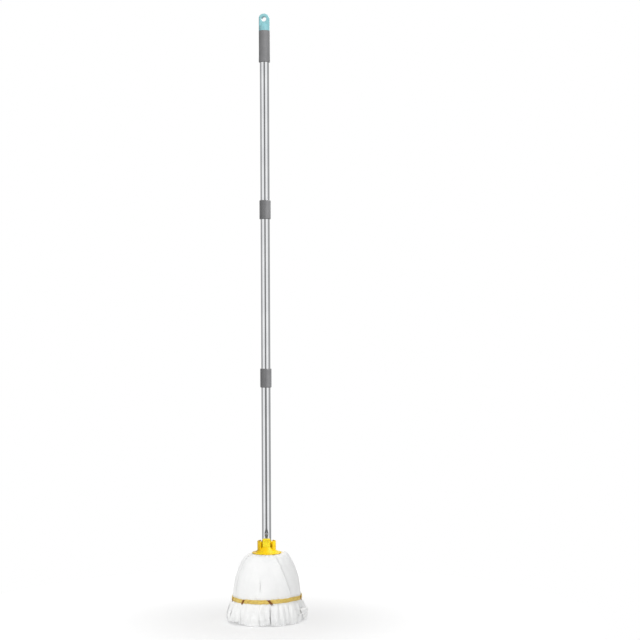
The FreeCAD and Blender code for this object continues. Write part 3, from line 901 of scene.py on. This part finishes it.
def snap_spring():
    """Folded leaf behind the button, with a front leg and a back leg."""
    low, high = millimetres("snap_spring")
    front, back = low[1] + LEAF_THICKNESS / 2, high[1] - LEAF_THICKNESS / 2
    foot, top = low[2] + LEAF_THICKNESS, high[2] - 0.1
    corners = [Vector(c) for c in ((front, top - 1.5), (front, top - 10.0), (2.0, foot),
                                   (back, top - 19.0), (back, top))]
    path = evenly(rounded(corners, 4), LEAF_STEP)
    half_width, half = high[0] - 0.02, LEAF_THICKNESS / 2
    section = [(-half_width, -0.5 * half), (-0.96 * half_width, -half), (0.96 * half_width, -half),
               (half_width, -0.5 * half), (half_width, 0.5 * half), (0.96 * half_width, half),
               (-0.96 * half_width, half), (-half_width, 0.5 * half)]
    points, faces = [], []
    for i, place in enumerate(path):
        along = (path[min(i + 1, len(path) - 1)] - path[max(i - 1, 0)]).normalized()
        for x, out in section:
            points.append((x, place.x - along.y * out, place.y + along.x * out))
    sides = len(section)
    for i in range(len(path) - 1):
        for k in range(sides):
            a, b = i * sides + k, i * sides + (k + 1) % sides
            faces.append((a, b, b + sides, a + sides))
    last = (len(path) - 1) * sides
    faces.append(tuple(reversed(range(sides))))
    faces.append(tuple(range(last, last + sides)))
    leaf = piece("snap_spring_leaf", points, faces, SPRING, "snap_spring", rides=False)
    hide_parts("snap_spring")
    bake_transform(leaf)


outer_sheets()
inner_strips()
stitched_band()
lower_tube()
snap_spring()


# ---- studio ----------------------------------------------------------------------------------

FLOOR_R = 0.8


def floor():
    """A pale floor, which brightens towards its rim until it meets the white round it.

    It is left out of reflections, so that the chrome keeps its dark outline down to its foot."""
    finish = Finish("studio_floor")
    finish.shader.inputs["Specular IOR Level"].default_value = 0.2
    shade = finish.range(finish.cloud(3.0, 3.0), 0.3, 0.7, 0.0, 1.0)
    finish.link(finish.blend(shade, rgba(0.90, 0.90, 0.90), rgba(0.88, 0.88, 0.88)), "Base Color")
    finish.link(finish.range(finish.cloud(40.0, 4.0), 0.3, 0.7, 0.75, 0.9), "Roughness")
    finish.shader.inputs["Emission Color"].default_value = rgba(1.0, 1.0, 1.0)
    out = finish.add("ShaderNodeVectorMath", {0: finish.place}, operation="LENGTH").outputs["Value"]
    finish.link(finish.range(out, 0.1, 0.9 * FLOOR_R, 0.38, 0.8), "Emission Strength")
    grid = bmesh.new()
    bmesh.ops.create_circle(grid, cap_ends=True, segments=96, radius=FLOOR_R)
    mesh = bpy.data.meshes.new("studio_floor")
    grid.to_mesh(mesh)
    grid.free()
    mesh.materials.append(finish.material)
    obj = bpy.data.objects.new("studio_floor", mesh)
    bpy.context.scene.collection.objects.link(obj)
    obj.visible_glossy = False
    return obj


LIGHTS_AIM_Z = 0.6


def softbox(name, azimuth, height, distance, size, power, pieces, lit):
    """A rectangular light that faces the mop, at degrees from the front towards +X.

    It lights only the given pieces if lit is true, and all but them if it is false."""
    light = bpy.data.lights.new(name, "AREA")
    light.shape = "RECTANGLE"
    light.size, light.size_y = size
    light.energy = power
    lamp = bpy.data.objects.new(name, light)
    a = math.radians(azimuth)
    lamp.location = (distance * math.sin(a), -distance * math.cos(a), height)
    aim = Vector((0.0, 0.0, LIGHTS_AIM_Z)) - lamp.location
    lamp.rotation_euler = aim.to_track_quat("-Z", "Y").to_euler()
    bpy.context.scene.collection.objects.link(lamp)
    group = bpy.data.collections.new(name + "_pieces")
    for obj in pieces:
        group.objects.link(obj)
    for member in group.collection_objects:
        member.light_linking.link_state = "INCLUDE" if lit else "EXCLUDE"
    lamp.light_linking.receiver_collection = group


# The studio's brightness round the horizon: degrees from the front towards +X, and brightness.
HORIZON = [(-180, 1.30), (-165, 1.00), (-150, 0.70), (-100, 0.60), (-84, 0.70), (-74, 1.60),
           (-26, 1.60), (-17, 0.42), (-2, 0.30), (11, 0.36), (19, 1.60), (64, 1.70), (76, 0.70),
           (100, 0.60), (150, 0.70), (165, 1.00), (180, 1.30)]
# Its brightness overhead, its share underfoot, and the strength of it all.
OVERHEAD, UNDERFOOT, ROOM = 0.75, 0.6, 0.66


def surroundings():
    """White all round for the camera; panels and dark gaps for light and reflections."""
    world = bpy.data.worlds.new("studio")
    bpy.context.scene.world = world
    world.use_nodes = True
    tree = world.node_tree
    tree.nodes.clear()

    def add(kind, inputs=None, **settings):
        return add_node(tree, kind, inputs, **settings)

    way = add("ShaderNodeSeparateXYZ", {0: add("ShaderNodeTexCoord").outputs["Generated"]})
    ahead = add("ShaderNodeMath", {0: way.outputs["Y"], 1: -1.0}, operation="MULTIPLY")
    turn = add("ShaderNodeMath", {0: way.outputs["X"], 1: ahead.outputs[0]}, operation="ARCTAN2")
    share = add("ShaderNodeMapRange", {0: turn.outputs[0], 1: -math.pi, 2: math.pi})
    ramp = add("ShaderNodeValToRGB", {0: share.outputs[0]})
    stops = ramp.color_ramp.elements
    for i, (degrees, brightness) in enumerate(HORIZON):
        stop = stops[i] if i < 2 else stops.new(1.0)
        stop.position = (degrees + 180.0) / 360.0
        stop.color = rgba(brightness, brightness, brightness)
    high = add("ShaderNodeMapRange", {0: way.outputs["Z"], 1: 0.2, 2: 0.4},
               interpolation_type="SMOOTHSTEP")
    overhead = rgba(OVERHEAD, OVERHEAD, OVERHEAD)
    room_colour = add("ShaderNodeMix", {0: high.outputs[0], 6: ramp.outputs[0], 7: overhead},
                      data_type="RGBA")
    low = add("ShaderNodeMapRange", {0: way.outputs["Z"], 1: -0.35, 2: -0.18, 3: UNDERFOOT * ROOM,
                                     4: ROOM}, interpolation_type="SMOOTHSTEP")
    room = add("ShaderNodeBackground",
               {"Color": room_colour.outputs[2], "Strength": low.outputs[0]})
    seen = add("ShaderNodeBackground", {"Color": rgba(1.0, 1.0, 1.0), "Strength": 1.0})
    rays = add("ShaderNodeLightPath")
    mix = add("ShaderNodeMixShader", {0: rays.outputs["Is Camera Ray"], 1: room.outputs[0],
                                      2: seen.outputs[0]})
    add("ShaderNodeOutputWorld", {0: mix.outputs[0]})


CAMERA_AT = (0.130, -3.858, 0.716)
CAMERA_LENS, CAMERA_SENSOR = 90.8, 36.0
CAMERA_ROLL_DEG = 0.27


def camera():
    """Level camera a little to the right of the mop, at its middle height."""
    data = bpy.data.cameras.new("camera")
    data.lens = CAMERA_LENS
    data.sensor_width = CAMERA_SENSOR
    obj = bpy.data.objects.new("camera", data)
    obj.location = CAMERA_AT
    obj.rotation_euler = (math.radians(90.0), math.radians(CAMERA_ROLL_DEG), 0.0)
    bpy.context.scene.collection.objects.link(obj)
    bpy.context.scene.camera = obj


studio_floor = floor()
SOCKET_PIECES = cad_nodes("mop_socket", "release_tongue")
GRIP_PIECES = cad_nodes("hanging_cap", "grip_sleeve")
COLLARS = cad_nodes("upper_joint_sleeve", "lower_joint_sleeve")
BACK_LIT = CLOTH_PIECES + SOCKET_PIECES + GRIP_PIECES + COLLARS
HANDLE_KEY_SKIPS = CLOTH_PIECES + GRIP_PIECES + [studio_floor]
softbox("cloth_key", -44.0, 2.8, 1.9, (1.1, 1.1), 45.0, CLOTH_PIECES, True)
softbox("cloth_fill", 36.0, 1.6, 2.4, (1.6, 1.6), 10.0, CLOTH_PIECES, True)
softbox("socket_fill", -14.0, 1.3, 2.2, (1.2, 1.2), 7.0, SOCKET_PIECES, True)
softbox("grip_key", 27.0, 2.6, 2.0, (1.1, 1.1), 38.0, GRIP_PIECES, True)
softbox("handle_key", 62.0, 2.6, 2.0, (1.1, 1.1), 74.0, HANDLE_KEY_SKIPS, False)
softbox("back_fill", 168.0, 2.2, 2.4, (1.6, 1.6), 18.0, BACK_LIT, True)
surroundings()
camera()
bpy.context.scene.view_settings.view_transform = "Standard"
